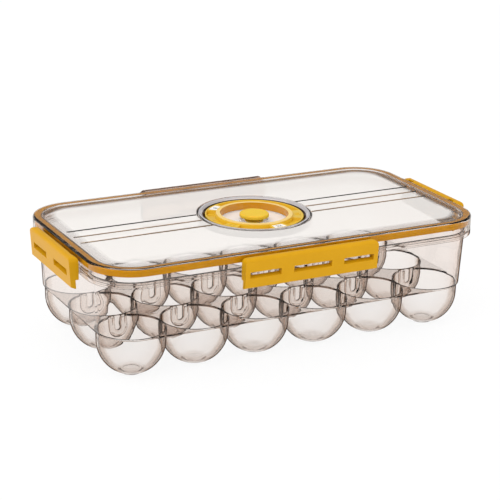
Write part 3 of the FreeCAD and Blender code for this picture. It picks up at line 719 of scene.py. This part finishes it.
@dataclass
class DateDial:
    """The number ring, the turning dial over it, and their numbers."""

    days: int = 31
    first_day: float = 284.0
    day_radius: float = 32.2 * MM
    day_height: float = 3.4 * MM
    ring_top: float = 80.3 * MM
    ink_depth: float = 0.06 * MM
    ink_sink: float = 0.01 * MM
    face_top: float = 84.6 * MM
    floor_top: float = 82.3 * MM
    month_radius: float = 32.3 * MM
    month_height: float = 4.2 * MM
    month_rise: float = 0.35 * MM
    sink: float = 0.1 * MM
    block_months: tuple[Mark, ...] = (("12", 212.0), ("10", 337.0))
    pocket_months: tuple[Mark, ...] = (("3", 150.0), ("2", 172.0), ("1", 193.0))
    windows: tuple[tuple[str, float, float], ...] = (("22", 268.0, 285.0), ("8", 118.0, 137.0))
    window_radii: tuple[float, float] = (28.6 * MM, 35.4 * MM)
    window_sink: float = 0.25 * MM
    window_plate: float = 0.8 * MM
    plate_steps: int = 12
    ticks: int = 8
    first_tick: float = 226.0
    tick_pitch: float = 5.0
    tick_size: Spot = (3.2 * MM, 0.7 * MM, 0.5 * MM)
    tick_bevel: float = 0.12 * MM
    bevel_segments: int = 2
    letter_scale: float = 1.4
    letter_steps: int = 4

    def build(self) -> None:
        """Dress the ring and the dial, and put their numbers on."""
        card = CARD_PLASTIC.make()
        ink = NUMBER_INK.make()
        plastic = DIAL_PLASTIC.make()
        dress(polished("number_ring", "white_number_ring", Body.LID), card)
        dress(polished("date_dial", "yellow_date_dial", Body.DIAL), plastic)
        step = 360.0 / self.days
        days = tuple((str(day + 1), self.first_day - step * day) for day in range(self.days))
        self.add_numbers(NumberSet(
            "day_numbers", days, self.day_radius, self.day_height, self.ring_top - self.ink_sink,
            self.ink_depth, Body.LID, "white_card",
        ), ink)
        for name, months, top in (
            ("block_months", self.block_months, self.face_top),
            ("pocket_months", self.pocket_months, self.floor_top),
        ):
            self.add_numbers(NumberSet(
                name, months, self.month_radius, self.month_height, top - self.sink,
                self.month_rise + self.sink, Body.DIAL, "yellow_dial",
            ), plastic)
        self.add_window_plates(card, ink)
        self.add_ticks(plastic)

    def add_window_plates(self, card: bpy.types.Material, ink: bpy.types.Material) -> None:
        """Lay a white plate with a number in each of the dial's windows.

        Args:
            card: The plates' material.
            ink: The numbers' material.
        """
        top = self.face_top - self.window_sink
        low = top - self.window_plate
        inner, outer = self.window_radii
        corners = ((inner, low), (outer, low), (outer, top), (inner, top))
        for number, start, stop in self.windows:
            form = bmesh.new()
            face = form.faces.new([form.verts.new((radius, 0, height)) for radius, height in corners])
            turn = Matrix.Rotation(math.radians(start), 3, "Z")
            bmesh.ops.rotate(form, cent=(0, 0, 0), matrix=turn, verts=form.verts)
            bmesh.ops.spin(form, geom=[face, *face.edges, *face.verts], cent=(0, 0, 0), axis=(0, 0, 1),
                           angle=math.radians(stop - start), steps=self.plate_steps)
            bmesh.ops.recalc_face_normals(form, faces=form.faces)
            self.add_piece("window_plate_" + number, form, Body.DIAL, card)
            self.add_numbers(NumberSet(
                "window_number_" + number, ((number, (start + stop) / 2),), (inner + outer) / 2,
                self.day_height, top - self.ink_sink, self.ink_depth, Body.DIAL, "white_card",
            ), ink)

    def add_numbers(self, numbers: NumberSet, material: bpy.types.Material) -> None:
        """Set numbers in a ring round the dial's axis.

        Args:
            numbers: The numbers and their places.
            material: Their material.
        """
        form = bmesh.new()
        middle = numbers.low + numbers.depth / 2
        for words, degrees in numbers.marks:
            text = bpy.data.curves.new(numbers.name + "_text", "FONT")
            text.body = words
            text.size = numbers.height * self.letter_scale
            text.align_x = "CENTER"
            text.align_y = "CENTER"
            text.extrude = numbers.depth / 2
            text.resolution_u = self.letter_steps
            holder = bpy.data.objects.new(numbers.name + "_text", text)
            shape = bpy.data.meshes.new_from_object(holder)
            angle = math.radians(degrees)
            across = numbers.radius * math.cos(angle)
            along = numbers.radius * math.sin(angle)
            place = Matrix.Translation((across, along, middle))
            shape.transform(place @ Matrix.Rotation(angle + math.pi / 2, 4, "Z"))
            form.from_mesh(shape)
            bpy.data.objects.remove(holder)
            bpy.data.curves.remove(text)
            bpy.data.meshes.remove(shape)
        bmesh.ops.remove_doubles(form, verts=form.verts, dist=SLIVER)
        self.add_piece(numbers.name, form, numbers.body, material)

    def add_ticks(self, material: bpy.types.Material) -> None:
        """Raise a row of day ticks from the floor of the dial's front recess.

        Args:
            material: The dial's material.
        """
        form = bmesh.new()
        shift = (self.month_radius, 0, self.floor_top + self.tick_size[2] / 2 - self.sink)
        for number in range(self.ticks):
            made = bmesh.ops.create_cube(form, size=1.0)
            bmesh.ops.scale(form, vec=self.tick_size, verts=made["verts"])
            bmesh.ops.translate(form, vec=shift, verts=made["verts"])
            turn = Matrix.Rotation(math.radians(self.first_tick + self.tick_pitch * number), 3, "Z")
            bmesh.ops.rotate(form, cent=(0, 0, 0), matrix=turn, verts=made["verts"])
        bmesh.ops.bevel(form, geom=form.edges, offset=self.tick_bevel, segments=self.bevel_segments,
                        profile=0.5, affect="EDGES", material=-1)
        self.add_piece("dial_ticks", form, Body.DIAL, material)

    def add_piece(self, name: str, form: bmesh.types.BMesh, body: Body, material: bpy.types.Material) -> None:
        """Turn a finished form into a piece that rides on a body.

        Args:
            name: The piece's name.
            form: Its shape, which is freed.
            body: The body that it rides on.
            material: Its material.
        """
        piece = shaped(name, form)
        dress(piece, material)
        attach(piece, body.value)
        LOG.info("%s rides on %s", name, body.value)


@dataclass
class VentPlug:
    """The soft vent plug with its knob."""

    node: str = "vent_plug"

    def build(self) -> None:
        """Dress the plug."""
        dress(polished(self.node, "yellow_vent_plug", Body.VENT), PLUG_SILICONE.make())


@dataclass(frozen=True)
class Softbox:
    """A square lamp that faces the box: its place, the length of its side, and its power in watts."""

    name: str
    place: Spot
    side: float
    power: float


@dataclass
class Studio:
    """The white studio: camera, floor, soft light, and grey flags that show only in shine and clear walls.

    Each flag is a tint of the surroundings at a height in degrees above the level.
    """

    frame_pixels: float = 500.0
    focal_pixels: float = 1575.09
    shift_pixels: tuple[float, float] = (-3.04, 15.55)
    sensor: float = 36.0
    azimuth: float = -27.97
    elevation: float = 19.37
    roll: float = -1.329
    distance: float = 1.173
    far_limit: float = 50.0
    target: Spot = (0.0, 0.0, 44.4 * MM)
    floor_half: float = 6.0
    floor_drop: float = 0.05 * MM
    floor_tint: str = "#F2F2F2"
    seen_floor_tint: str = "#585858"
    floor_glow: float = 0.91
    half_bounce: float = 0.5
    light_from: Spot = (-0.60, -0.22, 0.77)
    light_range: tuple[float, float] = (0.3, 1.35)
    flags: tuple[Stop, ...] = (
        (-90.0, WHITE), (8.0, WHITE), (14.0, "#929292"), (24.0, "#8A8A8A"), (34.0, "#6F6F6F"),
        (58.0, "#6F6F6F"), (70.0, WHITE),
    )
    lamps: tuple[Softbox, ...] = (
        Softbox("key_softbox", (-1.25, -0.75, 1.25), 1.1, 5.0),
        Softbox("fill_softbox", (1.3, -0.9, 0.9), 1.2, 1.5),
    )
    all_bounces: int = 40
    through_bounces: int = 36
    gloss_bounces: int = 12
    open_bounces: int = 24

    def build(self) -> None:
        """Set up the camera, the floor, the world and the lamps."""
        self.add_camera()
        self.add_floor()
        self.add_world()
        for lamp in self.lamps:
            self.add_lamp(lamp)
        scene = bpy.context.scene
        scene.view_settings.view_transform = "Standard"
        scene.cycles.max_bounces = self.all_bounces
        scene.cycles.transmission_bounces = self.through_bounces
        scene.cycles.glossy_bounces = self.gloss_bounces
        scene.cycles.transparent_max_bounces = self.open_bounces

    def add_camera(self) -> None:
        """Place the camera as the photograph's was."""
        turn = math.radians(self.azimuth)
        rise = math.radians(self.elevation)
        roll = math.radians(self.roll)
        back = Vector((math.sin(turn) * math.cos(rise), -math.cos(turn) * math.cos(rise), math.sin(rise)))
        right = (-back).cross(Vector((0, 0, 1))).normalized()
        down = (-back).cross(right)
        across = math.cos(roll) * right + math.sin(roll) * down
        below = -math.sin(roll) * right + math.cos(roll) * down
        data = bpy.data.cameras.new("photo_camera")
        data.sensor_width = self.sensor
        data.lens = self.focal_pixels / self.frame_pixels * self.sensor
        data.shift_x = self.shift_pixels[0] / self.frame_pixels
        data.shift_y = self.shift_pixels[1] / self.frame_pixels
        data.clip_end = self.far_limit
        camera = bpy.data.objects.new("photo_camera", data)
        axes = Matrix((across, -below, back)).transposed().to_4x4()
        camera.matrix_world = Matrix.Translation(Vector(self.target) + back * self.distance) @ axes
        bpy.context.scene.collection.objects.link(camera)
        bpy.context.scene.camera = camera

    def seen(self, tree: Tree) -> Socket:
        """Add a value that is 1 for rays that show the surroundings, straight, in shine or through a wall.

        Args:
            tree: The node tree to add to.

        Returns:
            The value's socket.
        """
        path = add_node(tree, "ShaderNodeLightPath").outputs
        first = add_node(tree, "ShaderNodeMath", {
            0: path["Is Camera Ray"], 1: path["Is Glossy Ray"],
        }, operation="MAXIMUM")
        both = add_node(tree, "ShaderNodeMath", {
            0: first, 1: path["Is Transmission Ray"],
        }, operation="MAXIMUM")
        clean = add_node(tree, "ShaderNodeMath", {
            0: path["Diffuse Depth"], 1: self.half_bounce,
        }, operation="LESS_THAN")
        return add_node(tree, "ShaderNodeMath", {0: both, 1: clean}, operation="MULTIPLY").outputs[0]

    def add_floor(self) -> None:
        """Lay the plain pale floor, which keeps a faint shadow."""
        form = bmesh.new()
        bmesh.ops.create_grid(form, x_segments=1, y_segments=1, size=self.floor_half)
        bmesh.ops.translate(form, vec=(0, 0, -self.floor_drop), verts=form.verts)
        floor = shaped("white_floor", form)
        material, tree, output = new_material("white_floor_paper")
        seen = self.seen(tree)
        colour = add_node(tree, "ShaderNodeMix", {
            "Factor": seen, 6: linear(self.floor_tint), 7: linear(self.seen_floor_tint),
        }, data_type="RGBA").outputs[2]
        paper = add_node(tree, "ShaderNodeBsdfDiffuse", {"Color": colour})
        strength = add_node(tree, "ShaderNodeMath", {0: seen, 1: self.floor_glow}, operation="MULTIPLY")
        glow = add_node(tree, "ShaderNodeEmission", {"Color": linear(WHITE), "Strength": strength})
        both = add_node(tree, "ShaderNodeAddShader", {0: paper, 1: glow})
        tree.links.new(both.outputs[0], output.inputs["Surface"])
        dress(floor, material)

    def add_world(self) -> None:
        """Set the white background, the soft light, and the grey flags high round the table."""
        world = bpy.data.worlds.new("white_studio")
        bpy.context.scene.world = world
        world.use_nodes = True
        tree = world.node_tree
        tree.nodes.clear()
        output = add_node(tree, "ShaderNodeOutputWorld")
        direction = add_node(tree, "ShaderNodeTexCoord").outputs["Generated"]
        height = add_node(tree, "ShaderNodeSeparateXYZ", {0: direction}).outputs[2]
        share = add_node(tree, "ShaderNodeMapRange", {"Value": height, "From Min": -1.0, "From Max": 1.0})
        stops = tuple(((math.sin(math.radians(degrees)) + 1) / 2, tint) for degrees, tint in self.flags)
        flags = add_node(tree, "ShaderNodeValToRGB", {0: share}, stops).outputs[0]
        straight = add_node(tree, "ShaderNodeLightPath").outputs["Is Camera Ray"]
        shown = add_node(tree, "ShaderNodeBackground", {
            "Color": painted(tree, flags, (straight, linear(WHITE))), "Strength": 1.0,
        })
        slant = add_node(tree, "ShaderNodeVectorMath", {
            0: direction, 1: self.light_from,
        }, operation="DOT_PRODUCT").outputs["Value"]
        level = add_node(tree, "ShaderNodeMapRange", {
            "Value": slant, "From Min": -1.0, "From Max": 1.0, "To Min": self.light_range[0],
            "To Max": self.light_range[1],
        })
        light = add_node(tree, "ShaderNodeBackground", {"Color": linear(WHITE), "Strength": level})
        mix = add_node(tree, "ShaderNodeMixShader", {0: self.seen(tree), 1: light, 2: shown})
        tree.links.new(mix.outputs[0], output.inputs["Surface"])

    def add_lamp(self, softbox: Softbox) -> None:
        """Hang a softbox so that it faces the box.

        Args:
            softbox: The lamp's place, size and power.
        """
        data = bpy.data.lights.new(softbox.name, "AREA")
        data.size = softbox.side
        data.energy = softbox.power
        lamp = bpy.data.objects.new(softbox.name, data)
        lamp.location = softbox.place
        lamp.rotation_mode = "QUATERNION"
        lamp.rotation_quaternion = (Vector(self.target) - Vector(softbox.place)).to_track_quat("-Z", "Y")
        bpy.context.scene.collection.objects.link(lamp)


def main() -> None:
    """Build the studio and every sub-assembly."""
    logging.basicConfig(level=logging.INFO, format="%(name)s: %(message)s")
    for part in (Studio(), Tray(), Lid(), Clips(), DateDial(), VentPlug()):
        LOG.info("building %s", type(part).__name__)
        part.build()


if __name__ == "__main__":
    main()
